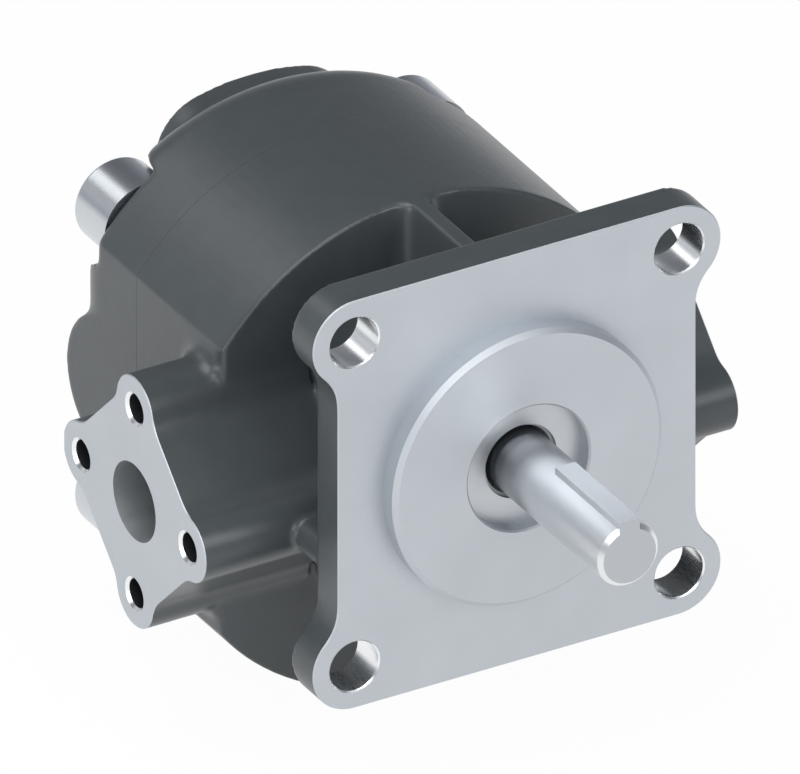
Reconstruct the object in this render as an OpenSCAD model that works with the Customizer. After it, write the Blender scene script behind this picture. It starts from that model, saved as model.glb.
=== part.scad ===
// Hydraulic gear motor: external gears, square four-bolt flange, ports on both sides.
// The shaft axis is the Y axis and the shaft points to -Y. The origin is the centre of
// the flange's front face, +X is to the right and +Z is up. All sizes are millimetres.

/* [Mounting flange] */
// Distance between the flange bolt holes, both ways
bolt_spacing = 96.5; // [94:0.5:100]
// Diameter of the flange bolt holes
bolt_hole_d = 14.4; // [12:0.2:16]
// Radius of the flange corner round each bolt hole
flange_corner_r = 12.4; // [11.5:0.1:14]
// Thickness of the flange
flange_t = 11; // [9:0.5:14]
// Width of the flange between its waisted sides
flange_waist_w = 106.4; // [100:0.4:110]
// Radius of the hollow that joins a waisted side to a corner
flange_waist_r = 12.9; // [10:0.1:14]
// Diameter of the centring pilot
pilot_d = 80; // [76:0.5:84]
// Height of the pilot above the flange face
pilot_h = 6.2; // [5:0.1:8]
// Chamfer on the pilot's rim
pilot_chamfer = 1.3; // [0.5:0.1:2]

/* [Drive shaft] */
// Diameter of the shaft end
shaft_d = 18; // [17:0.1:19]
// Distance from the flange face to the end of the shaft
shaft_reach = 58.3; // [50:0.1:65]
// Chamfer at the end of the shaft
shaft_chamfer = 1.2; // [0.5:0.1:1.5]
// Width of the key
key_w = 6; // [5:0.5:6]
// Height of the key
key_h = 5; // [4:0.5:6]
// Length of the key
key_l = 33.4; // [25:0.1:38]
// Depth of the key's seat in the shaft
key_seat = 3.5; // [2.5:0.1:3.8]
// Diameter of all four bearing journals
journal_d = 20; // [19.2:0.1:21]

/* [Gears] */
// Number of teeth on each gear
teeth = 12; // [11:1:14]
// Distance between the two gear axes
centre_distance = 40.8; // [40.6:0.1:41.6]
// Pressure angle at which the two gears work together
working_angle = 26.1; // [25:0.1:27]
// Outer radius of both gears
gear_tip_r = 23.5; // [23.2:0.1:23.6]
// Radius at the bottom of the tooth gaps
gear_root_r = 16.5; // [16.2:0.1:16.7]
// Tooth thickness lost to running play, along the pitch circle
backlash = 0.16; // [0.1:0.02:0.3]
// Width of the gears
gear_w = 28; // [24:0.5:30]
// Distance from the flange face to the middle of the gears and ports
gear_y = 60; // [58:0.5:62]

/* [Housing] */
// Radius of the round body
body_r = 71.6; // [68:0.1:75]
// Width across the body's flat sides
body_w = 115.2; // [112:0.2:120]
// Distance from the flange face to the front wall of the body
body_front = 51.9; // [49:0.1:54]
// Distance from the flange face to the joint between housing and cover
joint_y = 96.5; // [96:0.1:100]
// Edge radius at the front of the body
body_edge_r = 0.5; // [0.5:0.5:3]
// Wall of the neck round the gear chamber
neck_wall = 8; // [6:0.5:10]
// Distance from the flange face to the bottom of the gear chamber
chamber_front = 20; // [18:0.5:22]
// Thickness of the top rib between flange and body
top_rib_t = 5; // [4:0.5:7]
// Thickness of the side ribs behind the flange
side_rib_t = 9; // [7:0.5:11]
// Distance of the side ribs' outer edge from the centre
side_rib_reach = 53; // [50:0.5:54]

/* [Ports] */
// Distance between the two port faces
port_face_span = 158.4; // [150:0.4:166]
// Diameter of the port bores
port_d = 22; // [18:0.5:23]
// Pitch circle of the port's four tapped holes
port_pcd = 55; // [52:0.5:56]
// Tapping diameter of the port's bolt holes
port_hole_d = 8; // [6.8:0.1:8.4]
// Depth of the port's tapped holes
port_hole_depth = 15; // [12:0.5:18]
// Radius of the lobe round each tapped hole
port_lobe_r = 9.4; // [8.5:0.1:9.8]
// Distance from the port's centre to the flat between two lobes
port_flat = 25.8; // [24.5:0.1:26.5]
// Radius of the hollow beside each lobe
port_hollow_r = 8; // [5:0.5:9]
// Radius of the cast fillet where the upper and lower lobes meet the body
port_fillet_r = 5; // [3:0.5:6]

/* [Rear cover] */
// Depth of the cover at the screw seats
cover_t = 22.1; // [21:0.1:24]
// Edge radius beside the screw seats
seat_edge_r = 3.5; // [2.5:0.1:5]
// Height of the cover's raised face above the screw seats
raised_h = 13.9; // [12:0.1:15]
// Radius of the raised face's edge
raised_edge_r = 14; // [11:0.5:16]
// Radius of the raised face's edge along the flat sides
raised_flat_r = 16.5; // [14:0.5:18]
// Radius of the open pocket round each screw
pocket_r = 16.4; // [14:0.1:17]
// Radius of the cross boss on the cover
cross_boss_r = 20.4; // [18:0.1:22]
// Distance from the joint to the axis of the cross boss
cross_boss_y = 16.7; // [15:0.1:18]
// Width of the upright boss over the gear axes
upright_boss_w = 57; // [52:0.5:58]
// Height of the upright boss from end to end
upright_boss_h = 130.8; // [126:0.2:132]
// Radius of the corners of the upright boss
upright_boss_r = 16; // [10:0.5:20]
// Distance from the joint to the rear face of the upright boss
upright_boss_y = 41.7; // [40:0.1:44]

/* [Cover screws] */
// Pitch circle of the four cover screws
screw_pcd = 119.8; // [119:0.1:122]
// Thread diameter of the cover screws
screw_d = 16; // [14:1:16]
// Diameter of the screw heads
screw_head_d = 24; // [22:0.5:25]
// Height of the screw heads
screw_head_h = 16; // [14:0.5:18]
// Width across the flats of the hexagon socket
screw_socket_w = 14; // [12:1:14]
// Length of a screw under its head
screw_l = 50; // [45:1:55]
// Edge radius of the screw heads
screw_edge_r = 1; // [0.5:0.1:2]

/* [Bearings and seals] */
// Wall of the bearing bushes
bush_wall = 2; // [1.5:0.25:2.5]
// Diameter of the shaft seal's seat
seal_seat_d = 36; // [34:0.5:38]
// Depth of the seal's front face behind the pilot face
seal_depth = 4.2; // [3:0.1:5]
// Width of the shaft seal
seal_w = 7; // [6:0.5:8]
// Diameter of the opening in the seal case
seal_opening_d = 21.3; // [21:0.1:23]
// Cord thickness of the cover's sealing ring
ring_cord = 3; // [2.4:0.2:3.4]
// Diameter of the cover's sealing ring at its middle
ring_d = 95; // [94:0.5:97]
// Diameter of the dowel pins
dowel_d = 8; // [6:1:8]
// Length of the dowel pins
dowel_l = 16; // [12:1:20]

/* [Hidden] */

$fn = 96;
flank_steps = 7;
cut = 1;
sharp = 0.01;
run_gap = 0.05;
tip_gap = 0.1;
seat_gap = 0.05;
face_gap = 0.1;

cast_dark = [0.33, 0.35, 0.37];
machined = [0.75, 0.77, 0.79];
steel = [0.82, 0.83, 0.84];
bronze = [0.72, 0.55, 0.33];
alloy = [0.68, 0.70, 0.72];
rubber = [0.10, 0.10, 0.11];
ptfe = [0.86, 0.84, 0.78];

// Places that follow from the sizes above
body_z = -centre_distance / 2;
body_half = body_w / 2;
hole_at = bolt_spacing / 2;
flange_waist = flange_waist_w / 2;
chamber_r = gear_tip_r + tip_gap;
neck_r = chamber_r + neck_wall;
neck_low_r = hole_at + flange_corner_r - centre_distance;
gear_front = gear_y - gear_w / 2;
gear_rear = gear_y + gear_w / 2;
cover_seat_y = joint_y + cover_t;
raised_y = cover_seat_y + raised_h;
port_face = port_face_span / 2;
port_arm = port_pcd / 2;
// a gap and a web that keep the boss's rounds off the neck's, which the STEP maker can't join
port_gap = 0.5;
port_web = 2 * port_lobe_r - 0.8;
screw_at = screw_pcd / 2 * sin(45);
seal_front = -pilot_h + seal_depth;
seal_rear = seal_front + seal_w;
shaft_bore_d = shaft_d + 3;
support_t = 2;
support_rear = seal_rear + support_t;
block_r = chamber_r - seat_gap;
front_block_y = chamber_front + face_gap;
front_block_l = gear_front - run_gap - front_block_y;
rear_block_y = gear_rear + run_gap;
rear_block_l = joint_y - face_gap - rear_block_y;
bush_in = journal_d / 2 + run_gap;
bush_out = bush_in + bush_wall;
bush_inset = 1;
journal_front = support_rear + 1;
journal_rear = joint_y - 2;
axial_groove_w = 3;
axial_groove_t = 2.4;
axial_seal_t = 1.6;
axial_r = centre_distance / 2 - 0.8;
backup_t = axial_groove_t - axial_seal_t - 0.02;
dowel_at = screw_pcd / 2 - 4;
thread_clearance = 0.5;
fillet_bite = 0.2;
screw_end_gap = 4;
valve_at = 34;
valve_d = 10;
valve_seat_t = 3;
valve_hole_d = 5;
valve_ball_r = 3.5;
valve_depth = 19;
valve_coil_d = 1;
valve_coil_turns = 5;
valve_coil_r = 3;

// Frames: a plate lies in the XZ plane, a bar runs along X, a turned piece is round about Y

module plate(y0, y1) {
    translate([0, y1, 0]) rotate([90, 0, 0]) linear_extrude(y1 - y0) children();
}

module bar(x0, x1) {
    translate([x0, 0, 0]) rotate([90, 0, 90]) linear_extrude(x1 - x0) children();
}

module turned(z = 0, x = 0) {
    translate([x, 0, z]) rotate([-90, 0, 0]) rotate_extrude() children();
}

module rod(r, y0, y1, z = 0, x = 0) {
    translate([x, y0, z]) rotate([-90, 0, 0]) cylinder(r = r, h = y1 - y0);
}

module both_sides() {
    children();
    mirror([1, 0, 0]) children();
}

// Half profile [radius, y] of a round body with a radius on its front and rear edge
module edge_profile(r, y0, y1, f0, f1) {
    inner = r - max(f0, f1);
    translate([0, y0]) square([inner, y1 - y0]);
    translate([0, y0 + f0]) square([r, y1 - y0 - f0 - f1]);
    translate([0, y0]) square([r - f0, f0 + 0.01]);
    translate([0, y1 - f1 - 0.01]) square([r - f1, f1 + 0.01]);
    translate([r - f0, y0 + f0]) circle(f0);
    translate([r - f1, y1 - f1]) circle(f1);
}

// The body's outer form: a round drum with two flat sides
module drum(y0, y1, f0, f1, flat_f1) {
    intersection() {
        turned(body_z) edge_profile(body_r, y0, y1, f0, f1);
        translate([0, 0, body_z - body_r])
            linear_extrude(2 * body_r) both_sides() edge_profile(body_half, y0, y1, f0, flat_f1);
    }
}

// Hollow between a straight edge and a lobe, both tangent: centre of the hollow's circle
function hollow_offset(lobe_r, hollow_r, depth) =
    sqrt(pow(lobe_r + hollow_r, 2) - pow(hollow_r + depth, 2));

module hollow(lobe, lobe_r, hollow_r, depth) {
    // the straight edge lies at x = lobe.x + depth, below the lobe
    centre = [lobe.x + depth + hollow_r, lobe.y - hollow_offset(lobe_r, hollow_r, depth)];
    difference() {
        polygon([lobe, [lobe.x + depth, centre.y], centre]);
        translate(centre) circle(hollow_r);
    }
}

// Flange

module flange_outline() {
    square([2 * flange_waist, 2 * hole_at], center = true);
    square([2 * hole_at, 2 * (hole_at + flange_corner_r)], center = true);
    for (left = [0, 1], low = [0, 1])
        mirror([left, 0]) mirror([0, low]) {
            translate([hole_at, hole_at]) circle(flange_corner_r);
            hollow([hole_at, hole_at], flange_corner_r, flange_waist_r, flange_waist - hole_at);
        }
}

module pilot() {
    turned() polygon([
        [0, -pilot_h], [pilot_d / 2 - pilot_chamfer, -pilot_h],
        [pilot_d / 2, -pilot_h + pilot_chamfer], [pilot_d / 2, cut], [0, cut]
    ]);
}

// Port bosses

module port_outline() {
    lobe = port_arm * [cos(45), sin(45)];
    rotate(45) square(2 * port_flat, center = true);
    for (a = [45 : 90 : 315])
        rotate(a) {
            translate(lobe) circle(port_lobe_r);
            for (low = [0, 1])
                mirror([0, low]) hollow(lobe, port_lobe_r, port_hollow_r, port_flat - lobe.x);
        }
}

module port_fillet(z) {
    // the hollow bites a little into both faces, so that it crosses them cleanly
    reach = port_fillet_r - fillet_bite;
    translate([body_half, gear_y, z]) rotate([0, 90, 0]) rotate_extrude() difference() {
        translate([0, -cut]) square([port_lobe_r + reach, reach + cut]);
        translate([port_lobe_r + reach, reach]) circle(port_fillet_r);
    }
}

module port_boss() {
    // the boss starts just outside the neck's round, and a web fills between the two
    bar(neck_r + port_gap, port_face) intersection() {
        translate([gear_y, body_z]) port_outline();
        // the joint face is cut across the rear lobe too
        translate([joint_y - 2 * body_r, body_z - body_r]) square(2 * body_r);
    }
    translate([0, gear_y - port_arm, body_z - port_web / 2])
        cube([neck_r + 2 * cut, body_front + cut - gear_y + port_arm, port_web]);
    intersection() {
        for (side = [-1, 1]) port_fillet(body_z + side * port_arm);
        translate([0, body_front + body_edge_r + cut, body_z - body_r])
            cube([port_face, body_r, 2 * body_r]);
    }
}

module port_holes() {
    translate([0, gear_y, body_z]) rotate([0, 90, 0]) cylinder(d = port_d, h = port_face + cut);
    for (a = [0 : 90 : 270])
        translate([port_face, gear_y + port_arm * cos(a), body_z + port_arm * sin(a)])
            rotate([0, -90, 0]) {
                translate([0, 0, -cut]) cylinder(d = port_hole_d, h = port_hole_depth + cut);
                chamfer_mouth(port_hole_d / 2, 0.8);
            }
}

module chamfer_mouth(r, c) {
    translate([0, 0, -c]) cylinder(r1 = r + 2 * c, r2 = r, h = 2 * c);
}

// Gear chamber: two bores that overlap
module chamber(r, y0, y1) {
    rod(r, y0, y1);
    rod(r, y0, y1, -centre_distance);
}

module neck() {
    rod(neck_r, flange_t / 2, body_front + cut);
    rod(neck_r, chamber_front, body_front + cut, -centre_distance);
    // below the flange the neck starts narrow, so that nothing hangs under the flange's edge
    translate([0, flange_t / 2, -centre_distance]) rotate([-90, 0, 0])
        cylinder(r1 = neck_low_r, r2 = neck_r, h = chamber_front - flange_t / 2);
    plate(flange_t / 2, body_front + cut)
        translate([-neck_r, -centre_distance]) square([2 * neck_r, centre_distance]);
    rib_top = body_z + body_r;
    plate(flange_t / 2, body_front + cut)
        translate([-top_rib_t / 2, 0]) square([top_rib_t, rib_top]);
    both_sides()
        plate(flange_t / 2, body_front + cut) translate([0, body_z]) {
            translate([0, -side_rib_t / 2])
                square([side_rib_reach - side_rib_t / 2, side_rib_t]);
            translate([side_rib_reach - side_rib_t / 2, 0]) circle(d = side_rib_t);
        }
}

module screw_places() {
    for (sx = [-1, 1], sz = [-1, 1])
        translate([sx * screw_at, 0, body_z + sz * screw_at]) children();
}

module dowel_places() {
    for (sz = [-1, 1]) translate([0, 0, body_z + sz * dowel_at]) children();
}

module front_housing() {
    color(cast_dark) difference() {
        union() {
            plate(0, flange_t) flange_outline();
            pilot();
            neck();
            drum(body_front, joint_y, body_edge_r, sharp, sharp);
            both_sides() port_boss();
        }
        chamber(chamber_r, chamber_front, joint_y + cut);
        both_sides() port_holes();
        for (sx = [-1, 1], sz = [-1, 1])
            rod(bolt_hole_d / 2, -cut, flange_t + cut, sz * hole_at, sx * hole_at);
        rod(shaft_bore_d / 2, -pilot_h - cut, chamber_front + cut);
        turned() polygon([
            [0, -pilot_h - cut], [seal_seat_d / 2 + 1.5, -pilot_h - cut],
            [seal_seat_d / 2, -pilot_h + 0.5], [seal_seat_d / 2, support_rear], [0, support_rear]
        ]);
        screw_places()
            rod(screw_d / 2, cover_seat_y - screw_l - screw_end_gap, joint_y + cut);
        dowel_places() rod(dowel_d / 2, joint_y - dowel_l / 2, joint_y + cut);
        turned(body_z) ring_groove();
        both_sides() drain_passage();
    }
}

module ring_groove() {
    translate([ring_d / 2 - ring_cord / 2 - seat_gap, joint_y - ring_cord])
        square([ring_cord + 2 * seat_gap, ring_cord + cut]);
}

// Oilway from the port bore to the drain valve
module drain_passage() {
    rod(valve_hole_d / 2, gear_y, joint_y + cut, body_z, valve_at);
}

// Rear cover

module upright_outline() {
    // the ends are round about the body's centre, and blend into the corners
    end_r = upright_boss_h / 2;
    corner_x = upright_boss_w / 2 - upright_boss_r;
    corner_z = sqrt(pow(end_r - upright_boss_r, 2) - pow(corner_x, 2));
    blend_x = corner_x * end_r / (end_r - upright_boss_r);
    intersection() {
        circle(end_r);
        square([2 * blend_x, upright_boss_h], center = true);
    }
    square([upright_boss_w, 2 * corner_z], center = true);
    for (sx = [-1, 1], sz = [-1, 1])
        translate([sx * corner_x, sz * corner_z]) circle(upright_boss_r);
}

module screw_pocket() {
    // the pocket opens outwards through the rim, and its floor is the seat's own drum
    rod(pocket_r, cover_seat_y - seat_edge_r - cut, raised_y + cut);
}

module cross_boss() {
    intersection() {
        translate([-body_half, joint_y + cross_boss_y, body_z])
            rotate([0, 90, 0]) cylinder(r = cross_boss_r, h = body_w);
        translate([-body_half, joint_y, body_z - cross_boss_r])
            cube([body_w, upright_boss_y, 2 * cross_boss_r]);
    }
}

module rear_cover() {
    color(cast_dark) difference() {
        union() {
            drum(joint_y, cover_seat_y, sharp, seat_edge_r, seat_edge_r);
            difference() {
                drum(joint_y + cut, raised_y, sharp, raised_edge_r, raised_flat_r);
                screw_places() screw_pocket();
            }
            cross_boss();
            plate(joint_y + cut, joint_y + upright_boss_y)
                translate([0, body_z]) upright_outline();
        }
        screw_places() rod(screw_d / 2 + thread_clearance, joint_y - cut, cover_seat_y + cut);
        dowel_places() rod(dowel_d / 2, joint_y - cut, joint_y + dowel_l / 2);
        both_sides() {
            rod(valve_d / 2, joint_y - cut, joint_y + valve_depth, body_z, valve_at);
            translate([0, joint_y + valve_depth - valve_hole_d / 2, body_z]) rotate([0, 90, 0])
                cylinder(d = valve_hole_d, h = valve_at);
        }
    }
}

// Fasteners

module cover_screws() {
    socket_depth = screw_head_h / 2;
    color(steel) screw_places() difference() {
        union() {
            rod(screw_d / 2 - run_gap, cover_seat_y - screw_l, cover_seat_y + cut);
            turned() edge_profile(screw_head_d / 2, cover_seat_y,
                                  cover_seat_y + screw_head_h, sharp, screw_edge_r);
        }
        translate([0, cover_seat_y + screw_head_h - socket_depth, 0]) rotate([-90, 0, 0])
            cylinder(d = screw_socket_w / cos(30), h = socket_depth + cut, $fn = 6);
    }
}

module dowel_pins() {
    color(steel) dowel_places()
        turned() edge_profile(dowel_d / 2 - 0.01, joint_y - dowel_l / 2,
                              joint_y + dowel_l / 2, 0.6, 0.6);
}

module cover_sealing_ring() {
    color(rubber) turned(body_z)
        translate([ring_d / 2, joint_y - ring_cord / 2]) circle(d = ring_cord);
}

// Gears: involute teeth, both gears alike

pitch_r = centre_distance / 2;
base_r = pitch_r * cos(working_angle);
function roll(r) = acos(min(1, base_r / r));
function involute(r) = tan(roll(r)) * 180 / PI - roll(r);
tooth_half = 90 / teeth - backlash / 2 / pitch_r * 180 / PI / 2;
flank_start = max(gear_root_r, base_r);
function flank_angle(r) = tooth_half + involute(pitch_r) - involute(r);
function flank_r(i) = flank_start + (gear_tip_r - flank_start) * i / flank_steps;

module tooth() {
    right = [for (i = [0 : flank_steps]) let (r = flank_r(i), a = flank_angle(r))
        [r * sin(a), r * cos(a)]];
    left = [for (i = [flank_steps : -1 : 0]) let (r = flank_r(i), a = flank_angle(r))
        [-r * sin(a), r * cos(a)]];
    root = flank_angle(flank_start);
    polygon(concat(
        [[gear_root_r * sin(root), (gear_root_r - cut) * cos(root)]], right, left,
        [[-gear_root_r * sin(root), (gear_root_r - cut) * cos(root)]]
    ));
}

module gear_outline() {
    circle(gear_root_r);
    for (i = [0 : teeth - 1]) rotate(i * 360 / teeth) tooth();
}

module gear(z, turn) {
    translate([0, 0, z]) plate(gear_front, gear_rear) rotate(turn) gear_outline();
}

module key_seat_cut() {
    translate([-key_w / 2, -shaft_reach - cut, shaft_d / 2 - key_seat])
        cube([key_w, key_l + cut, shaft_d]);
}

module drive_gear_shaft() {
    color(steel) {
        difference() {
            union() {
                turned() polygon([
                    [0, -shaft_reach], [shaft_d / 2 - shaft_chamfer, -shaft_reach],
                    [shaft_d / 2, -shaft_reach + shaft_chamfer], [shaft_d / 2, journal_front],
                    [journal_d / 2, journal_front + 1], [journal_d / 2, journal_rear - 1],
                    [journal_d / 2 - 1, journal_rear], [0, journal_rear]
                ]);
                gear(0, 180);
            }
            key_seat_cut();
        }
    }
}

module shaft_key() {
    color(steel) translate([-key_w / 2, -shaft_reach, shaft_d / 2 - key_seat])
        cube([key_w, key_l, key_h]);
}

module driven_gear_shaft() {
    color(steel) {
        turned(-centre_distance) polygon([
            [0, front_block_y + 1], [journal_d / 2 - 1, front_block_y + 1],
            [journal_d / 2, front_block_y + 2], [journal_d / 2, journal_rear - 1],
            [journal_d / 2 - 1, journal_rear], [0, journal_rear]
        ]);
        gear(-centre_distance, 180 / teeth);
    }
}

// Bearing blocks and bushes

module axial_path(r0, r1) {
    // a flat ring that runs round both bearings
    difference() {
        union() {
            circle(r1);
            translate([0, -centre_distance]) circle(r1);
        }
        circle(r0);
        translate([0, -centre_distance]) circle(r0);
    }
}

module bearing_block(y0, l, groove_front, groove_rear) {
    color(alloy) difference() {
        chamber(block_r, y0, y0 + l);
        chamber(bush_out, y0 - cut, y0 + l + cut);
        plate(groove_front, groove_rear)
            axial_path(axial_r - axial_groove_w / 2, axial_r + axial_groove_w / 2);
    }
}

module front_bearing_block() {
    bearing_block(front_block_y, front_block_l,
                  front_block_y - cut, front_block_y + axial_groove_t);
}

module rear_bearing_block() {
    rear = rear_block_y + rear_block_l;
    bearing_block(rear_block_y, rear_block_l, rear - axial_groove_t, rear + cut);
}

module bush(y0, l, z) {
    color(bronze) turned(z) translate([bush_in, y0 + bush_inset])
        square([bush_wall, l - 2 * bush_inset]);
}

module front_drive_bush() { bush(front_block_y, front_block_l, 0); }
module front_driven_bush() { bush(front_block_y, front_block_l, -centre_distance); }
module rear_drive_bush() { bush(rear_block_y, rear_block_l, 0); }
module rear_driven_bush() { bush(rear_block_y, rear_block_l, -centre_distance); }

module axial_ring(y0, y1) {
    plate(y0, y1) axial_path(axial_r - axial_groove_w / 2 + seat_gap,
                             axial_r + axial_groove_w / 2 - seat_gap);
}

module front_axial_seal() {
    color(rubber) axial_ring(front_block_y, front_block_y + axial_seal_t);
}

module front_backup_ring() {
    color(ptfe) axial_ring(front_block_y + axial_seal_t, front_block_y + axial_seal_t + backup_t);
}

module rear_axial_seal() {
    rear = rear_block_y + rear_block_l;
    color(rubber) axial_ring(rear - axial_seal_t, rear);
}

module rear_backup_ring() {
    rear = rear_block_y + rear_block_l;
    color(ptfe) axial_ring(rear - axial_seal_t - backup_t, rear - axial_seal_t);
}

// Shaft seal

module shaft_seal_case() {
    wall = 1.2;
    color(machined) turned() difference() {
        translate([seal_opening_d / 2, seal_front])
            square([(seal_seat_d - seal_opening_d) / 2, seal_w]);
        translate([0, seal_front + wall]) square([seal_seat_d / 2 - wall, seal_w]);
    }
}

module shaft_seal_lip() {
    wall = 1.2;
    inner = shaft_d / 2 + run_gap;
    color(rubber) turned() difference() {
        polygon([
            [seal_seat_d / 2 - wall, seal_front + wall], [seal_seat_d / 2 - wall, seal_rear],
            [seal_seat_d / 2 - 2 * wall, seal_rear], [seal_seat_d / 2 - 2 * wall, seal_front + 3],
            [inner + 3, seal_front + 3], [inner + 2.6, seal_rear - 0.5],
            [inner + 0.6, seal_rear - 0.5], [inner, seal_rear - 1.4],
            [inner + 0.8, seal_front + wall]
        ]);
        translate([inner + 2.7, seal_rear - 1.6]) circle(0.7);
    }
}

module seal_garter_spring() {
    color(steel) turned()
        translate([shaft_d / 2 + run_gap + 2.7, seal_rear - 1.6]) circle(0.7);
}

module seal_support_washer() {
    color(steel) turned() translate([shaft_d / 2 + 0.6, seal_rear])
        square([(seal_seat_d - shaft_d) / 2 - 0.6 - seat_gap, support_t]);
}

// Drain valves: a seat, a ball and a spring in each pocket of the cover

module valve_places() {
    for (sx = [-1, 1]) translate([sx * valve_at, joint_y, body_z]) children();
}

module drain_valve_seats() {
    color(steel) valve_places() rotate([-90, 0, 0]) difference() {
        cylinder(d = valve_d - 0.02, h = valve_seat_t);
        translate([0, 0, -cut]) cylinder(d = valve_hole_d, h = valve_seat_t + 2 * cut);
    }
}

ball_rise = sqrt(pow(valve_ball_r, 2) - pow(valve_hole_d / 2, 2));

module drain_valve_balls() {
    color(steel) valve_places() translate([0, valve_seat_t + ball_rise + 0.02, 0])
        sphere(r = valve_ball_r, $fn = 48);
}

module drain_valve_springs() {
    // the last coil lies on the ball where the ball is as wide as the coil's inside
    coil_in = valve_coil_r - valve_coil_d / 2;
    start = valve_seat_t + ball_rise + sqrt(pow(valve_ball_r, 2) - pow(coil_in, 2)) + seat_gap;
    length = valve_depth - start - seat_gap;
    color(steel) valve_places() translate([0, start, 0]) rotate([-90, 0, 0])
        linear_extrude(length, twist = -360 * valve_coil_turns,
                       slices = 12 * valve_coil_turns, $fn = 8)
            translate([valve_coil_r, 0]) circle(d = valve_coil_d);
}

front_housing();
rear_cover();
cover_screws();
dowel_pins();
cover_sealing_ring();
drive_gear_shaft();
shaft_key();
driven_gear_shaft();
front_bearing_block();
rear_bearing_block();
front_drive_bush();
front_driven_bush();
rear_drive_bush();
rear_driven_bush();
front_axial_seal();
rear_axial_seal();
front_backup_ring();
rear_backup_ring();
shaft_seal_case();
shaft_seal_lip();
seal_garter_spring();
seal_support_washer();
drain_valve_seats();
drain_valve_balls();
drain_valve_springs();
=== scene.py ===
# %% [markdown]
# # The looks of a hydraulic gear motor
# The motor is two grey castings held together by four socket head screws. The flange, the
# pilot and the port pads are machined bright, and a ground steel shaft with a key comes out of
# the middle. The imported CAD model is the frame: it gives every size, and nothing in it moves.
# The screws, the shaft and everything inside keep their exact CAD solids. Only the two castings
# are made anew, because the soft corners of a casting aren't in the CAD.

# %% Setup
import math

import bmesh
import bpy
import numpy as np
from mathutils import Matrix, Vector


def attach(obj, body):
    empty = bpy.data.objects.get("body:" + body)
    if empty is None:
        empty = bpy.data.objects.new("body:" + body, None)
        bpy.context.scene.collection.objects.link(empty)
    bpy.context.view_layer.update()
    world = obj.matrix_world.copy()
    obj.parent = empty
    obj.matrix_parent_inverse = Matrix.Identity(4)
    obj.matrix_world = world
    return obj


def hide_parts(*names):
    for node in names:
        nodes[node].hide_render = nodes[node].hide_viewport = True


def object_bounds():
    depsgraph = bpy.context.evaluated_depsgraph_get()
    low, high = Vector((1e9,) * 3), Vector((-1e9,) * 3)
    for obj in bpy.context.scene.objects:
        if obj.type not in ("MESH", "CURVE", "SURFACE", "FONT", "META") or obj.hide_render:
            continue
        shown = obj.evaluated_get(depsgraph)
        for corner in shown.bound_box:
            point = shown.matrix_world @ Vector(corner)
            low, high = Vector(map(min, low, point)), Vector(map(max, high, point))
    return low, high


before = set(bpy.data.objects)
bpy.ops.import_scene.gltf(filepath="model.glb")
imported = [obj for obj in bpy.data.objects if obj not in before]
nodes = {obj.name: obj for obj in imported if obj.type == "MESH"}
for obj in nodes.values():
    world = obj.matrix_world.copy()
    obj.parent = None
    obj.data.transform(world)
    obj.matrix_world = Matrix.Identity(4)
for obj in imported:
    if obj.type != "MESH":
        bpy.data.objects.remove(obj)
cad_box = [list(point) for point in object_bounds()]
print("CAD box", cad_box)

# %% [markdown]
# ## Tools for materials
# Colours are written as the hex values that a picture editor shows, and turned to linear light
# by one function. Another small function adds a shader node with its settings and its links.
# The scale of a pattern comes from a real size: a noise texture of scale 1 has features about
# a metre across, so the scale is 1000 over the size in millimetres.

# %% Colour and node helpers
MM_PER_M = 1000.0


def srgb(text):
    """A hex colour as linear light, with alpha."""
    parts = [int(text[i:i + 2], 16) / 255 for i in (1, 3, 5)]
    linear = [c / 12.92 if c <= 0.04045 else ((c + 0.055) / 1.055) ** 2.4 for c in parts]
    return (*linear, 1.0)


def add_node(tree, kind, inputs=None, **settings):
    """Adds a node; an input is given a value, or another node's output to link."""
    made = tree.nodes.new(kind)
    for key, value in settings.items():
        setattr(made, key, value)
    for key, value in (inputs or {}).items():
        if isinstance(value, bpy.types.NodeSocket):
            tree.links.new(value, made.inputs[key])
        else:
            made.inputs[key].default_value = value
    return made


def new_material(name, **surface):
    """A material with one Principled shader, whose plain sockets are set here."""
    made = bpy.data.materials.new(name)
    made.use_nodes = True
    shader = made.node_tree.nodes["Principled BSDF"]
    for key, value in surface.items():
        shader.inputs[key.replace("_", " ")].default_value = value
    return made, made.node_tree, shader


print("middle grey in linear light", round(srgb("#808080")[0], 3))

# %% [markdown]
# ## Grey cast iron under sprayed paint
# The castings are sand cast and sprayed dark grey. A photograph of such paint could be wrapped
# round them, but noise in the object's own space needs no unwrapping and shows no seams. Paint
# is not a metal, so metallic is 0, and an IOR of 1.5 is that of a paint film. The sand leaves
# grains of about half a millimetre, which the paint softens to small changes of gloss, and
# slow waves of a few millimetres, which make the highlights drift.

# %% Painted cast iron
WAVE_MM = 6.25
GRAIN_MM = 0.59


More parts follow.
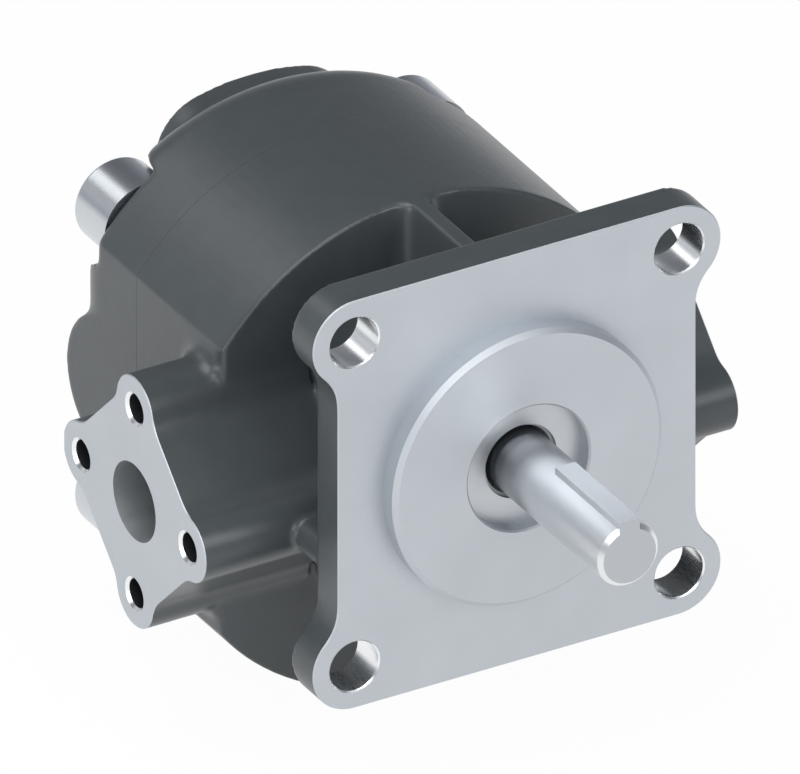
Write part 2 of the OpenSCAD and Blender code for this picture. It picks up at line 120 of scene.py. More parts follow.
def painted_cast_iron():
    """Dark grey paint, half glossy, over the skin of a sand casting."""
    made, tree, shader = new_material("painted_cast_iron", IOR=1.5)
    place = add_node(tree, "ShaderNodeTexCoord").outputs["Object"]
    waves = add_node(tree, "ShaderNodeTexNoise", {
        "Vector": place, "Scale": MM_PER_M / WAVE_MM, "Detail": 3.0})
    grain = add_node(tree, "ShaderNodeTexNoise", {
        "Vector": place, "Scale": MM_PER_M / GRAIN_MM, "Detail": 2.0})
    tint = add_node(tree, "ShaderNodeMix", {
        "Factor": waves.outputs["Fac"], "A": srgb("#3c4144"), "B": srgb("#44494b")},
        data_type="RGBA")
    tree.links.new(tint.outputs["Result"], shader.inputs["Base Color"])
    gloss = add_node(tree, "ShaderNodeMapRange", {
        "Value": grain.outputs["Fac"], "To Min": 0.28, "To Max": 0.40})
    tree.links.new(gloss.outputs["Result"], shader.inputs["Roughness"])
    low_waves = add_node(tree, "ShaderNodeBump", {
        "Height": waves.outputs["Fac"], "Distance": 0.00025, "Strength": 0.25})
    bump = add_node(tree, "ShaderNodeBump", {
        "Height": grain.outputs["Fac"], "Distance": 0.00006, "Strength": 0.35,
        "Normal": low_waves.outputs["Normal"]})
    tree.links.new(bump.outputs["Normal"], shader.inputs["Normal"])
    return made


cast_paint = painted_cast_iron()
print("made", cast_paint.name)

# %% [markdown]
# ## Bare metal
# The flange, the pilot, the pads and the bores are cut bare after painting. Every cutter leaves
# fine lines, parallel from a mill and in rings from a lathe or a grinder. They are about 0.3 mm
# apart, too fine to show at this distance, so they are drawn 1.4 to 2.5 mm apart and only a few
# thousandths of a millimetre deep. Iron and steel are metals, so metallic is 1 and the IOR
# stays as it is. One finish differs from the next in colour, roughness and lines alone, so one
# function makes them all.

# %% Bare metal
CLOUD_MM = 16.7
WAVE_TEXTURE_MM = 314.0


def bare_metal(name, low, high, rough, lines_mm, rings=False, finish_marks_and_shade=(), depth_mm=0.0025):
    """Metal between two close colours, with cutter lines, and any given tints of finish or painted
    shade.
    """
    made, tree, shader = new_material(name, Metallic=1.0)
    place = add_node(tree, "ShaderNodeTexCoord").outputs["Object"]
    cloud = add_node(tree, "ShaderNodeTexNoise", {
        "Vector": place, "Scale": MM_PER_M / CLOUD_MM, "Detail": 3.0})
    tint = add_node(tree, "ShaderNodeMix", {
        "Factor": cloud.outputs["Fac"], "A": srgb(low), "B": srgb(high)},
        data_type="RGBA").outputs["Result"]
    # each given function tints the colour: a duller faced end, or painted shade beside the seal
    for finish_mark_or_shade in finish_marks_and_shade:
        tint = finish_mark_or_shade(tree, place, tint)
    tree.links.new(tint, shader.inputs["Base Color"])
    # a wave texture of scale 1 repeats every 314 mm
    lines = add_node(tree, "ShaderNodeTexWave", {
        "Vector": place, "Scale": WAVE_TEXTURE_MM / lines_mm, "Distortion": 0.6, "Detail": 2.0},
        wave_type="RINGS" if rings else "BANDS")
    if rings:
        lines.rings_direction = "Y"
    else:
        lines.bands_direction = "Z"
    gloss = add_node(tree, "ShaderNodeMapRange", {
        "Value": lines.outputs["Fac"], "To Min": rough - 0.012, "To Max": rough + 0.012})
    tree.links.new(gloss.outputs["Result"], shader.inputs["Roughness"])
    bump = add_node(tree, "ShaderNodeBump", {
        "Height": lines.outputs["Fac"], "Distance": depth_mm / MM_PER_M, "Strength": 0.3})
    tree.links.new(bump.outputs["Normal"], shader.inputs["Normal"])
    return made


# face milled: light grey, even and half dull
milled_iron = bare_metal("milled_iron", "#bcc1c6", "#c6cbd0", 0.50, 1.6)
# bored: as dull, and a little lighter, as painted light that lifts the port bores out of their
# shade
bored_iron_painted_light = bare_metal("bored_iron_painted_light", "#c6c9cc", "#cfd2d5", 0.50, 2.4)
# tapped: painted shade; threads send little light back out of a hole, so the colour is painted dark
tapped_iron_painted_shade = bare_metal("tapped_iron_painted_shade", "#4c4f52", "#585b5e", 0.50, 2.5)
# reamed and countersunk: smooth, with strong bands of light
reamed_iron = bare_metal("reamed_iron", "#eceef0", "#f4f5f6", 0.27, 2.0, depth_mm=0.0003)
# zinc plated: bluish and smooth, because the plating fills the lines
zinc_steel = bare_metal("zinc_plated_steel", "#c4c8cc", "#d0d4d8", 0.28, 1.8, depth_mm=0.0003)
# pressed from sheet: softly shiny, with rings from the press tool
pressed_steel = bare_metal("pressed_steel", "#bcc0c4", "#c9ccd0", 0.42, 2.0, rings=True)
# aluminium alloy of the pressure plates: pale and half dull
block_alloy = bare_metal("bearing_block_alloy", "#b9bcc0", "#c6c9cc", 0.40, 2.0)
# bearing bronze: the one warm colour, and fairly smooth
bush_bronze = bare_metal("bearing_bronze", "#b08a5a", "#c29a66", 0.35, 2.0, rings=True)
print("made", milled_iron.name, "and seven more")

# %% [markdown]
# ## Ground steel, its faced end, and painted shade on a shaft
# Ground steel is the brightest metal here. A shaft has two places that look different. Its end
# is faced with a coarse tool, so it is duller than the ground side. Beside the seal the shaft is
# painted darker, as painted shade: the seal's opening shadows it there, and it mirrors the dark
# housing. The faced end could be a piece of its own, but it is only skin deep, so both are
# colours: the end chosen by which way the surface faces, the painted shade by its place along
# the shaft.

# %% Ground steel
# where the painted shade beside the seal starts, is full and ends along the shaft
SHADE_STARTS_MM = -14.0
SHADE_FULL_MM = -6.0
SHADE_ENDS_MM = 8.0


def faced_end(tree, place, tint):
    """Dulls what faces the front."""
    facing = add_node(tree, "ShaderNodeSeparateXYZ", {
        "Vector": add_node(tree, "ShaderNodeNewGeometry").outputs["Normal"]})
    front = add_node(tree, "ShaderNodeMath", {0: facing.outputs["Y"], 1: -0.9},
                     operation="LESS_THAN")
    return add_node(tree, "ShaderNodeMix", {
        "Factor": front.outputs[0], "A": tint, "B": srgb("#b9bdc2")},
        data_type="RGBA").outputs["Result"]


def painted_seal_shade(tree, place, tint):
    """Paints shade on the stretch beside the seal, fading out towards the shaft's end."""
    along = add_node(tree, "ShaderNodeSeparateXYZ", {"Vector": place}).outputs["Y"]
    fade = add_node(tree, "ShaderNodeMapRange", {
        "Value": along, "From Min": SHADE_STARTS_MM / MM_PER_M, "From Max": SHADE_FULL_MM / MM_PER_M})
    outside = add_node(tree, "ShaderNodeMath", {0: along, 1: SHADE_ENDS_MM / MM_PER_M},
                       operation="LESS_THAN")
    share = add_node(tree, "ShaderNodeMath", {0: fade.outputs["Result"], 1: outside.outputs[0]},
                     operation="MULTIPLY")
    # a darker grey as the painted shade
    return add_node(tree, "ShaderNodeMix", {
        "Factor": share.outputs[0], "A": tint, "B": srgb("#75787b")},
        data_type="RGBA").outputs["Result"]


ground_steel = bare_metal("ground_steel", "#e0e2e4", "#eaecee", 0.30, 1.4, rings=True,
                          finish_marks_and_shade=[faced_end])
# the drive shaft also carries the painted shade beside the seal
shaft_steel_painted_shade = bare_metal("ground_shaft_steel_painted_shade", "#e0e2e4", "#eaecee", 0.30, 1.4, rings=True,
                         finish_marks_and_shade=[faced_end, painted_seal_shade])
print("made", ground_steel.name, "and", shaft_steel_painted_shade.name)

# %% [markdown]
# ## Rubber and plastic
# The seals are nitrile rubber, moulded in polished steel tools: nearly black, and only a little
# shiny. The lip at the shaft is given a light grey instead, as painted light that lifts it out
# of the shade in the seal's opening. The backup rings are a waxy white plastic. Neither is a
# metal, and 1.5 is a usual IOR for both. A fine grain changes the gloss a little.

# %% Rubber and plastic
def moulded(name, low, high, rough, grain_mm):
    """A moulded surface between two close colours, with a fine grain."""
    made, tree, shader = new_material(name, IOR=1.5)
    place = add_node(tree, "ShaderNodeTexCoord").outputs["Object"]
    grain = add_node(tree, "ShaderNodeTexNoise", {
        "Vector": place, "Scale": MM_PER_M / grain_mm, "Detail": 2.0})
    tint = add_node(tree, "ShaderNodeMix", {
        "Factor": grain.outputs["Fac"], "A": srgb(low), "B": srgb(high)}, data_type="RGBA")
    tree.links.new(tint.outputs["Result"], shader.inputs["Base Color"])
    gloss = add_node(tree, "ShaderNodeMapRange", {
        "Value": grain.outputs["Fac"], "To Min": rough - 0.05, "To Max": rough + 0.05})
    tree.links.new(gloss.outputs["Result"], shader.inputs["Roughness"])
    return made


seal_rubber = moulded("nitrile_rubber", "#1c1c1e", "#26262a", 0.55, 0.6)
# the lip's light grey is painted light against the shade round the shaft
lip_rubber_painted_light = moulded("seal_lip_rubber_painted_light", "#999da0", "#a2a6a9", 0.50, 0.6)
waxy_plastic = moulded("backup_ring_plastic", "#d9d5c8", "#e4e0d4", 0.45, 0.8)
print("made", seal_rubber.name, lip_rubber_painted_light.name, waxy_plastic.name)

# %% [markdown]
# ## Casting blanks
# A founder pours a blank with rounded corners everywhere, and a miller then cuts the working
# faces into it, which leaves crisp edges. The edges of the CAD solid could be bevelled one by
# one, but where ribs, lobes and round bodies meet, a bevel folds over itself. So the order of
# the works is kept: the CAD solid is copied, its holes are plugged, its machined faces get 3 mm
# of stock, the skin is rounded, and then it is machined. The plain forms for this come first.

# %% Plain forms in millimetres
def at_y(x, z):
    """Places a turned form with its length along Y."""
    return Matrix.Translation((x, 0, z))


def along_x(side, y, z):
    """Places a turned form with its length along X, out of the left or the right pad."""
    return Matrix.Translation((0, y, z)) @ Matrix.Rotation(-side * math.pi / 2, 4, "Z")


def put(bm, part, place=Matrix()):
    """Adds the form in part to bm, moved to its place."""
    bmesh.ops.transform(part, matrix=place, verts=part.verts)
    bmesh.ops.recalc_face_normals(part, faces=part.faces)
    mesh = bpy.data.meshes.new("form")
    part.to_mesh(mesh)
    part.free()
    bm.from_mesh(mesh)
    bpy.data.meshes.remove(mesh)


def turn(bm, profile, place=Matrix(), steps=128):
    """Spins points of (radius, length) round the length axis, as on a lathe."""
    part = bmesh.new()
    verts = [part.verts.new((r, y, 0)) for r, y in profile]
    edges = [part.edges.new(pair) for pair in zip(verts, verts[1:])]
    bmesh.ops.spin(part, geom=verts + edges, cent=(0, 0, 0), axis=(0, 1, 0),
                   angle=2 * math.pi, steps=steps, use_merge=True)
    bmesh.ops.remove_doubles(part, verts=part.verts, dist=1e-4)
    put(bm, part, place)


def rod(bm, radius, start, end, place=Matrix(), steps=128):
    """A round bar from start to end."""
    turn(bm, [(0, start), (radius, start), (radius, end), (0, end)], place, steps)


def block(bm, one, other):
    """A block between two opposite corners."""
    part = bmesh.new()
    bmesh.ops.create_cube(part, size=1.0)
    size = Vector(other) - Vector(one)
    middle = (Vector(other) + Vector(one)) / 2
    put(bm, part, Matrix.Translation(middle) @ Matrix.Diagonal((*size, 1)))


print("forms: turned, rod and block")

# %% [markdown]
# ## Stock on the machined faces
# A founder leaves extra metal, called stock, wherever the miller will cut. A flat face of the
# CAD form is found by its place on an axis, copied, sunk a little so that both overlap, and
# drawn out into a slab with the same outline.

# %% The CAD form and its stock
STOCK = 3.0
SUNK = 1.0
FLAT = 2e-3


def cad_form(node):
    """A node's mesh in millimetres, with its split edges joined."""
    bm = bmesh.new()
    bm.from_mesh(nodes[node].data)
    bmesh.ops.scale(bm, vec=(MM_PER_M, MM_PER_M, MM_PER_M), verts=bm.verts)
    bmesh.ops.remove_doubles(bm, verts=bm.verts, dist=1e-3)
    return bm


def flat_faces(source, axis, level):
    """The faces that lie at this level of an axis."""
    return {f for f in source.faces if all(abs(v.co[axis] - level) < FLAT for v in f.verts)}


def draw_out(part, step):
    """Extrudes all of part by the vector step."""
    grown = bmesh.ops.extrude_face_region(part, geom=part.faces[:], use_keep_orig=True)
    moved = [item for item in grown["geom"] if isinstance(item, bmesh.types.BMVert)]
    bmesh.ops.translate(part, vec=step, verts=moved)


def raise_face(bm, source, axis, level, side):
    """Adds stock over the flat face that source has at this level; side is 1 or -1."""
    part = source.copy()
    kept = flat_faces(part, axis, level)
    bmesh.ops.delete(part, geom=[f for f in part.faces if f not in kept], context="FACES")
    outward = Vector((0, 0, 0))
    outward[axis] = side
    bmesh.ops.translate(part, vec=-SUNK * outward, verts=part.verts)
    draw_out(part, (SUNK + STOCK) * outward)
    put(bm, part)


print("stock", STOCK, "mm")

# %% [markdown]
# ## The skin of a casting
# Voxel remeshing joins the CAD form, its plugs and its stock into one even skin of half
# millimetre squares, and smoothing rounds its corners, wider with each round of smoothing. A
# founder keeps outer edges fairly sharp and fills inner corners well, so that the iron doesn't
# crack there as it cools. So the skin is smoothed a little, and then takes a strong smoothing
# only where that adds metal, which it does in inner corners alone. Some outer edges are worn
# softer in the pattern, and boxes say where.

# %% Skin tools
VOXEL = 0.5
BLEND = 4.0


def make_object(bm, name, materials):
    """Turns a form in millimetres into an object in metres."""
    bmesh.ops.scale(bm, vec=(1 / MM_PER_M, 1 / MM_PER_M, 1 / MM_PER_M), verts=bm.verts)
    mesh = bpy.data.meshes.new(name)
    bm.to_mesh(mesh)
    bm.free()
    for material in materials:
        mesh.materials.append(material)
    made = bpy.data.objects.new(name, mesh)
    bpy.context.scene.collection.objects.link(made)
    return made


def settle(piece):
    """Applies the modifiers."""
    graph = bpy.context.evaluated_depsgraph_get()
    mesh = bpy.data.meshes.new_from_object(piece.evaluated_get(graph))
    piece.modifiers.clear()
    piece.data = mesh


def rounded(piece, mm):
    """The skin's points and normals after smoothing that spreads a corner over mm."""
    smooth = piece.modifiers.new("rounding", "SMOOTH")
    smooth.factor = 0.5
    smooth.iterations = round((2 * mm / VOXEL) ** 2)
    mesh = piece.evaluated_get(bpy.context.evaluated_depsgraph_get()).to_mesh()
    points = np.empty(len(mesh.vertices) * 3)
    normals = np.empty(len(mesh.vertices) * 3)
    mesh.vertices.foreach_get("co", points)
    mesh.vertex_normals.foreach_get("vector", normals)
    piece.modifiers.clear()
    return points.reshape(-1, 3), normals.reshape(-1, 3)


def cast_skin(piece, edge_mm, fillet_mm, soft_mm, soft_boxes):
    """Remeshes, then rounds outer edges by edge_mm and fills inner corners by fillet_mm.

    In the boxes, given by middle and half size in millimetres, outer edges get soft_mm.
    """
    remesh = piece.modifiers.new("sand", "REMESH")
    remesh.mode = "VOXEL"
    remesh.voxel_size = VOXEL / MM_PER_M
    settle(piece)
    crisp, normals = rounded(piece, edge_mm)
    soft, soft_normals = rounded(piece, soft_mm)
    for middle, half in soft_boxes:
        outside = np.maximum(np.abs(crisp * MM_PER_M - middle) - half, 0.0)
        share = np.clip(1 - np.linalg.norm(outside, axis=1) / BLEND, 0.0, 1.0)[:, None]
        crisp = crisp + share * (soft - crisp)
        normals = normals + share * (soft_normals - normals)
    filled, _ = rounded(piece, fillet_mm)
    rise = np.maximum(((filled - crisp) * normals).sum(axis=1), 0.0)
    piece.data.vertices.foreach_set("co", (crisp + normals * rise[:, None]).ravel())
    piece.data.update()


print("skin of", VOXEL, "mm squares")

# %% [markdown]
# ## Machining
# A form that stands for the cutter is taken away from the casting by a boolean modifier. The
# faces of the cutter carry a finish, and the faces that it leaves take that finish over, so
# the paint ends exactly where the metal was cut. Choosing painted and bare faces by their angle
# would be simpler, but it would miss the chamfers and the bores.

# %% Cutting
IRON = [cast_paint, milled_iron, bored_iron_painted_light, tapped_iron_painted_shade, reamed_iron]
MILLED = 1
BORED_PAINTED_LIGHT = 2
TAPPED_PAINTED_SHADE = 3
REAMED = 4


def cut(piece, bm, name, finish=MILLED):
    """Machines a form away and gives the cut faces their finish."""
    for face in bm.faces:
        face.material_index = finish
    tool = make_object(bm, name, piece.data.materials)
    boolean = piece.modifiers.new(name, "BOOLEAN")
    boolean.operation = "DIFFERENCE"
    boolean.solver = "MANIFOLD"
    boolean.object = tool
    settle(piece)
    bpy.data.objects.remove(tool)


print("finishes of the iron:", [material.name for material in IRON])

# %% [markdown]
# ## Breaking an edge
# A worker draws a file along the sharp edge of a milled face, so that nobody is cut. The broken
# edge is a third of a millimetre wide and still shows, because it catches the light as a thin
# bright line. A bevel modifier would also find the thousands of small edges of the cast skin.
# Here the outline is read from the CAD face instead, and a thin three-sided bar is swept along
# it and cut away.

# %% Edge breaking
OVERCUT = 0.5


def outer_rim(source, axis, level, along):
    """The points of a flat face's outer outline, in order, counterclockwise seen from along."""
    flat = flat_faces(source, axis, level)
    nearby = {}
    for edge in source.edges:
        if sum(face in flat for face in edge.link_faces) == 1:
            for one, other in (edge.verts, reversed(edge.verts)):
                nearby.setdefault(one, []).append(other)
    middle = sum((v.co for v in nearby), Vector()) / len(nearby)
    loop = [max(nearby, key=lambda v: (v.co - middle).length)]
    loop.append(nearby[loop[0]][0])
    while loop[-1] is not loop[0]:
        loop.append(next(v for v in nearby[loop[-1]] if v is not loop[-2]))
    points = [v.co.copy() for v in loop[:-1]]
    area = sum(a.cross(b).dot(along) for a, b in zip(points, points[1:] + points[:1]))
    return points if area > 0 else points[::-1]


def edge_break(bm, source, axis, level, side, mm):
    """Adds a cutter to bm that breaks the outer edge of a flat face of source by mm."""
    along = Vector((0, 0, 0))
    along[axis] = side
    points = outer_rim(source, axis, level, along)
    bar = ((-mm - OVERCUT, OVERCUT), (OVERCUT, -mm - OVERCUT), (OVERCUT, OVERCUT))
    rings = []
    for before, here, after in zip(points[-1:] + points, points, points[1:] + points[:1]):
        run = (here - before).normalized() + (after - here).normalized()
        out = run.cross(along).normalized()
        rings.append([bm.verts.new(here + out * width + along * height) for width, height in bar])
    for ring, following in zip(rings, rings[1:] + rings[:1]):
        for i in range(3):
            j = (i + 1) % 3
            bm.faces.new((ring[i], ring[j], following[j], following[i]))
    bmesh.ops.recalc_face_normals(bm, faces=bm.faces)


print("an edge is cut", OVERCUT, "mm past itself")

# %% [markdown]
# ## Front housing: the blank
# The housing is one casting: a round body with a square flange on a ribbed neck and a port pad
# on each side. Its sizes are those of the CAD, and the ends are read from it. The plugs are
# bars a little thicker than the holes they fill, so that they join the walls. Two hollow
# fillers go where the top rib meets the body, because the fillet there is wider than the others.

# %% Front housing blank
SIDES = (-1, 1)
BODY_Z = -20.4
GEAR_Y = 60.0
HOLE_AT = 48.25
SCREW_AT = 42.35
PORT_ARM = 27.5
DRIVEN_Z = 2 * BODY_Z
GEAR_HOLES_Y = 19.0
PILOT_STOCK_R = 42.0
GEAR_PLUG_R = 25.0
JOINT_PLUG_R = 50.0
PORT_PLUG_R = 12.0
FLANGE_PLUG_R = 8.0
FLANGE_PLUG_END = 10.5
SCREW_PLUG_R = 9.0
TAP_PLUG_R = 5.0
RIB_X = 2.2
DRUM_Y = 52.2
FILLER_R = 5.5
FILLER_STEPS = 12
TOP_RIB = ((0, 35, 50), (9, 21, 6))
LOBE_FEET = [((sx * 62, GEAR_Y, BODY_Z + sz * 34), (7, 14, 7)) for sx in SIDES for sz in SIDES]


def rib_filler(bm, side, low, high):
    """An upright filler with a hollow face, between the top rib and the body's front."""
    x = side * RIB_X
    outline = [(x, DRUM_Y)]
    for step in range(FILLER_STEPS + 1):
        angle = step / FILLER_STEPS * math.pi / 2
        outline.append((x + side * FILLER_R * (1 - math.sin(angle)),
                        DRUM_Y - FILLER_R * (1 - math.cos(angle))))
    part = bmesh.new()
    part.faces.new([part.verts.new((px, py, low)) for px, py in outline])
    draw_out(part, Vector((0, 0, high - low)))
    put(bm, part)


solid = cad_form("front_housing")
JOINT_Y = round(max(v.co.y for v in solid.verts), 2)
PAD_X = round(max(v.co.x for v in solid.verts), 2)
blank = solid.copy()
raise_face(blank, solid, 1, 0.0, -1)
raise_face(blank, solid, 1, JOINT_Y, 1)
rod(blank, PILOT_STOCK_R, -9.0, 5.0)
for z in (0, DRIVEN_Z):
    rod(blank, GEAR_PLUG_R, GEAR_HOLES_Y, JOINT_Y + STOCK, at_y(0, z))
rod(blank, JOINT_PLUG_R, GEAR_Y, JOINT_Y + STOCK, at_y(0, BODY_Z))
for sx in SIDES:
    raise_face(blank, solid, 0, sx * PAD_X, sx)
    rod(blank, PORT_PLUG_R, 20.0, PAD_X + STOCK, along_x(sx, GEAR_Y, BODY_Z), 48)
    rib_filler(blank, sx, 5.0, 50.6)
    for sz in SIDES:
        rod(blank, FLANGE_PLUG_R, -STOCK, FLANGE_PLUG_END, at_y(sx * HOLE_AT, sz * HOLE_AT), 48)
        rod(blank, SCREW_PLUG_R, GEAR_Y, JOINT_Y + STOCK,
            at_y(sx * SCREW_AT, BODY_Z + sz * SCREW_AT), 48)
        for dy, dz in ((PORT_ARM * sz, 0), (0, PORT_ARM * sz)):
            rod(blank, TAP_PLUG_R, 60.0, PAD_X + STOCK,
                along_x(sx, GEAR_Y + dy, BODY_Z + dz), 48)
housing = make_object(blank, "housing_casting", IRON)
cast_skin(housing, 0.5, 2.2, 1.6, [TOP_RIB, *LOBE_FEET])
print("housing blank", len(housing.data.polygons), "faces, joint at", JOINT_Y, "pads at", PAD_X)

# %% [markdown]
# ## Front housing: the machining
# The cuts come in the order of the works. A lathe faces the flange and turns the pilot in one
# clamping, so one turned form does both, and bores the seal's seat. The flange holes are reamed
# and the joint face is milled. It is cut 0.12 mm short, so that the seam to the cover shows as
# a hairline. Last come the pads with their ports and tapped holes, and the two gear bores.

# %% Front housing machining
AWAY = 120.0
PAST = 2.0
PILOT_R = 40.0
PILOT_H = 6.2
PILOT_CHAMFER = 1.3
SEAL_R = 18.0
SEAL_END = 7.0
SEAL_CHAMFER = 0.5
OPENING_R = 10.5
HOLE_R = 7.2
HOLE_CHAMFER = 0.4
HOLE_END = 14.0
SEAM = 0.12
PORT_R = 11.0
PORT_START = 15.0
TAP_R = 4.0
TAP_DEPTH = 15.0
TAP_POINT = 2.0
TAP_CHAMFER = 0.8
GEAR_HOLE_R = 23.6
FLANGE_BREAK = 0.3
PAD_BREAK = 0.25

tool = bmesh.new()
turn(tool, [(0, -30), (AWAY, -30), (AWAY, 0), (PILOT_R, 0), (PILOT_R, PILOT_CHAMFER - PILOT_H),
            (PILOT_R - PILOT_CHAMFER, -PILOT_H), (0, -PILOT_H)])
cut(housing, tool, "facing")
tool = bmesh.new()
edge_break(tool, solid, 1, 0.0, -1, FLANGE_BREAK)
cut(housing, tool, "flange_edge")

mouth = SEAL_CHAMFER - PILOT_H
tool = bmesh.new()
turn(tool, [(0, -12), (SEAL_R + mouth + 12, -12), (SEAL_R, mouth), (SEAL_R, SEAL_END),
            (OPENING_R, SEAL_END), (OPENING_R, GEAR_HOLES_Y + PAST), (0, GEAR_HOLES_Y + PAST)])
cut(housing, tool, "seal_seat")

tool = bmesh.new()
for sx in SIDES:
    for sz in SIDES:
        turn(tool, [(0, -PAST), (HOLE_R + HOLE_CHAMFER + PAST, -PAST), (HOLE_R, HOLE_CHAMFER),
                    (HOLE_R, HOLE_END), (0, HOLE_END)], at_y(sx * HOLE_AT, sz * HOLE_AT))
cut(housing, tool, "flange_holes", REAMED)

tool = bmesh.new()
block(tool, (-AWAY, JOINT_Y - SEAM, -AWAY), (AWAY, AWAY, AWAY))
cut(housing, tool, "joint_face")
print("flange and joint machined", len(housing.data.polygons), "faces")

# %% Port pads and gear bores
pads = bmesh.new()
pad_edges = bmesh.new()
ports = bmesh.new()
taps = bmesh.new()
countersinks = bmesh.new()
end = PAD_X + PAST
for sx in SIDES:
    block(pads, (sx * PAD_X, -AWAY, -AWAY), (sx * AWAY, AWAY, AWAY))
    edge_break(pad_edges, solid, 0, sx * PAD_X, sx, PAD_BREAK)
    rod(ports, PORT_R, PORT_START, end, along_x(sx, GEAR_Y, BODY_Z))
    for sz in SIDES:
        for dy, dz in ((PORT_ARM * sz, 0), (0, PORT_ARM * sz)):
            place = along_x(sx, GEAR_Y + dy, BODY_Z + dz)
            bottom = PAD_X - TAP_DEPTH
            turn(taps, [(0, bottom - TAP_POINT), (TAP_R, bottom), (TAP_R, end), (0, end)],
                 place, 64)
            turn(countersinks, [(0, PAD_X - TAP_CHAMFER), (TAP_R, PAD_X - TAP_CHAMFER),
                                (TAP_R + TAP_CHAMFER + PAST, end), (0, end)], place, 64)
cut(housing, pads, "pad_faces")
cut(housing, pad_edges, "pad_edges")
# the port bores take the lighter finish, painted light against their shade
cut(housing, ports, "port_bores", BORED_PAINTED_LIGHT)
# the tapped holes take the dark finish, painted shade
cut(housing, taps, "pad_holes", TAPPED_PAINTED_SHADE)
cut(housing, countersinks, "pad_chamfers", REAMED)
solid.free()

for z in (0, DRIVEN_Z):
    tool = bmesh.new()
    rod(tool, GEAR_HOLE_R, 20.0, AWAY, at_y(0, z))
    cut(housing, tool, "gear_bore")
housing.data.shade_smooth()
housing.data.set_sharp_from_angle(angle=math.radians(28))
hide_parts("front_housing")
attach(housing, "motor_body")
print("housing", len(housing.data.polygons), "faces")

# %% [markdown]
# ## Rear cover
# The cover closes the gear chamber. Its four corners are cast away to make room for the screw
# heads, and a boss runs across its back. It is made as the housing is, with softer edges, and
# only its joint face is cut, so the rest keeps the paint.

# %% Rear cover
COVER_PLUG_END = 117.0
COVER_SCREW_PLUG_R = 9.5
COVER_SCREW_PLUG_END = 118.5
POCKETS = [((sx * 52, 128, BODY_Z + sz * 52), (20, 10, 20)) for sx in SIDES for sz in SIDES]
CROSS_BOSS = [((sx * 57, 120, BODY_Z), (4, 22, 22)) for sx in SIDES]

solid = cad_form("rear_cover")
blank = solid.copy()
raise_face(blank, solid, 1, JOINT_Y, -1)
solid.free()
rod(blank, JOINT_PLUG_R, JOINT_Y - STOCK, COVER_PLUG_END, at_y(0, BODY_Z))
for sx in SIDES:
    for sz in SIDES:
        rod(blank, COVER_SCREW_PLUG_R, JOINT_Y - STOCK, COVER_SCREW_PLUG_END,
            at_y(sx * SCREW_AT, BODY_Z + sz * SCREW_AT), 48)
cover = make_object(blank, "cover_casting", IRON)
cast_skin(cover, 0.9, 2.2, 1.8, POCKETS + CROSS_BOSS)
tool = bmesh.new()
block(tool, (-AWAY, 0, -AWAY), (AWAY, JOINT_Y, AWAY))
cut(cover, tool, "joint_face")
cover.data.shade_smooth()
cover.data.set_sharp_from_angle(angle=math.radians(35))
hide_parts("rear_cover")
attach(cover, "motor_body")
print("cover", len(cover.data.polygons), "faces")

# %% [markdown]
# ## The carried-over pieces
# The shaft, the screws and everything inside are turned, ground or pressed to shape, so their
# CAD solids are already what the eye would see. They only need the finish of the real piece.

# %% Finishes of the other nodes
FINISH = {
    shaft_steel_painted_shade: ["drive_gear_shaft"],
    ground_steel: ["driven_gear_shaft", "shaft_key", "dowel_pins", "drain_valve_seats",
                   "drain_valve_balls"],
    zinc_steel: ["cover_screws"],
    pressed_steel: ["shaft_seal_case", "seal_garter_spring", "seal_support_washer",
                    "drain_valve_springs"],
    block_alloy: ["front_bearing_block", "rear_bearing_block"],
    bush_bronze: ["front_drive_bush", "front_driven_bush", "rear_drive_bush",
                  "rear_driven_bush"],
    seal_rubber: ["cover_sealing_ring", "front_axial_seal", "rear_axial_seal"],
    lip_rubber_painted_light: ["shaft_seal_lip"],
    waxy_plastic: ["front_backup_ring", "rear_backup_ring"],
}
for material, names in FINISH.items():
    for name in names:
        for place in nodes[name].material_slots:
            place.material = material
print("finishes on", sum(map(len, FINISH.values())), "nodes")

# %% [markdown]
# ## The room
# Bright metal looks like what it mirrors, so the room matters more than the lamps. Its walls
# are pale at the horizon and fall off to a dark ceiling, which draws the bands of light and
# dark along the shaft and the screw heads. A picture of a real studio would do the same, but a
# gradient of the height is enough and can be set by two numbers.

# %% World
HORIZON = 0.55
CEILING = 0.20

scene = bpy.context.scene
scene.view_settings.view_transform = "Standard"
world = bpy.data.worlds.new("studio")
scene.world = world
world.use_nodes = True
tree = world.node_tree
tree.nodes.clear()
height = add_node(tree, "ShaderNodeSeparateXYZ", {
    "Vector": add_node(tree, "ShaderNodeTexCoord").outputs["Generated"]}).outputs["Z"]
falloff = add_node(tree, "ShaderNodeMapRange", {
    "Value": height, "From Min": 0.0, "From Max": 0.50, "To Min": HORIZON, "To Max": CEILING})
dim = add_node(tree, "ShaderNodeBackground", {
    "Color": srgb("#e4e9f2"), "Strength": falloff.outputs["Result"]})
add_node(tree, "ShaderNodeOutputWorld", {"Surface": dim.outputs[0]})
print("room from", HORIZON, "at the horizon to", CEILING, "overhead")

# %% [markdown]
# ## The floor
# The photograph has a plain white ground. A lit white floor would come out grey in its corners,
# and more light would spoil the metals. So what the camera sees of the floor, straight or in a
# mirror or through glass, is nearly all its own white glow, and the rest is a matt floor that
# takes the motor's soft shadow. To the lamps it is a matt floor only.

# %% Floor
GLOW_SHARE = 0.97
FLOOR_HALF = 1500.0
FLOOR_THICK = 12.0

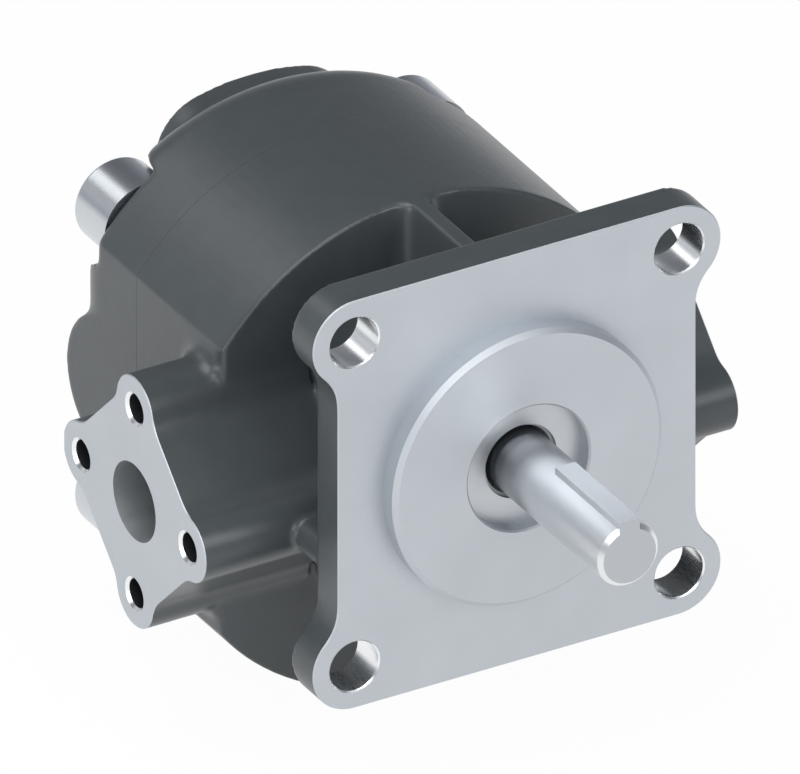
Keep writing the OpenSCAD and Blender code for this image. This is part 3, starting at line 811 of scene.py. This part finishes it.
floor_paint = bpy.data.materials.new("pale_floor")
floor_paint.use_nodes = True
tree = floor_paint.node_tree
tree.nodes.clear()
path = add_node(tree, "ShaderNodeLightPath")
straight = add_node(tree, "ShaderNodeMath", {
    0: path.outputs["Is Camera Ray"], 1: path.outputs["Is Transmission Ray"]},
    operation="MAXIMUM")
seen = add_node(tree, "ShaderNodeMath", {
    0: straight.outputs[0], 1: path.outputs["Is Glossy Ray"]}, operation="MAXIMUM")
share = add_node(tree, "ShaderNodeMath", {0: seen.outputs[0], 1: GLOW_SHARE},
                 operation="MULTIPLY")
matt = add_node(tree, "ShaderNodeBsdfDiffuse", {"Color": srgb("#f4f4f4")})
glow = add_node(tree, "ShaderNodeEmission", {"Color": srgb("#ffffff"), "Strength": 1.0})
both = add_node(tree, "ShaderNodeMixShader", {
    0: share.outputs[0], 1: matt.outputs[0], 2: glow.outputs[0]})
add_node(tree, "ShaderNodeOutputMaterial", {"Surface": both.outputs[0]})

slab = bmesh.new()
block(slab, (-FLOOR_HALF, -FLOOR_HALF, -FLOOR_THICK), (FLOOR_HALF, FLOOR_HALF, 0))
floor = make_object(slab, "floor", [floor_paint])
floor.location.z = cad_box[0][2]
print("floor at", floor.location.z)

# %% [markdown]
# ## Lamps
# Five soft lamps stand round the motor. The front lamp lights the flange, the top lamp draws
# the long highlight on the round body, and the left lamp brightens the pad. The two at the back
# are weak and only put a rim of light on the left screw head. All are large and near, as soft
# boxes are, so that no shadow has a hard edge.

# %% Lamps
MIDDLE = (0.0, 0.045, -0.02)


def soft_lamp(name, place, size, power):
    """A rectangular lamp that looks at the middle of the motor."""
    lamp = bpy.data.lights.new(name, "AREA")
    lamp.shape = "RECTANGLE"
    lamp.size, lamp.size_y = size
    lamp.energy = power
    made = bpy.data.objects.new(name, lamp)
    made.location = place
    made.rotation_euler = (Vector(MIDDLE) - Vector(place)).to_track_quat("-Z", "Y").to_euler()
    scene.collection.objects.link(made)


soft_lamp("top_lamp", (-0.25, 0.10, 0.75), (0.6, 0.6), 3.9)
soft_lamp("left_lamp", (-0.80, -0.10, 0.20), (0.4, 0.6), 2.2)
soft_lamp("front_lamp", (0.0, -0.80, 0.55), (1.3, 0.5), 7.5)
soft_lamp("back_lamp", (-0.30, 0.75, 0.55), (0.3, 0.3), 0.45)
soft_lamp("back_left_lamp", (-0.54, 0.75, 0.33), (0.5, 0.4), 0.22)
print("lamps", len(bpy.data.lights))

# %% [markdown]
# ## Camera
# The edges of the flange stay parallel right across the photograph, so it is a parallel view
# and the camera is orthographic. The ellipses of the round flange holes and the pilot give the
# direction: 29.9 degrees to the left of the front and 30.15 degrees above the floor.

# %% Camera
AZIMUTH = math.radians(-29.9)
ELEVATION = math.radians(30.15)
VIEW_WIDTH = 0.2061
VIEW_AT = (-0.03014, 0.01821)
DISTANCE = 0.8

right = Vector((math.cos(AZIMUTH), math.sin(AZIMUTH), 0.0))
back = Vector((math.sin(AZIMUTH) * math.cos(ELEVATION), -math.cos(AZIMUTH) * math.cos(ELEVATION),
               math.sin(ELEVATION)))
up = back.cross(right)
camera_data = bpy.data.cameras.new("camera")
camera_data.type = "ORTHO"
camera_data.ortho_scale = VIEW_WIDTH
camera_data.clip_end = 5.0
camera = bpy.data.objects.new("camera", camera_data)
aim = VIEW_AT[0] * right + VIEW_AT[1] * up
turned = Matrix((right, up, back)).transposed().to_4x4()
camera.matrix_world = Matrix.Translation(aim + DISTANCE * back) @ turned
scene.collection.objects.link(camera)
scene.camera = camera
print("camera looks from", [round(value, 3) for value in back])
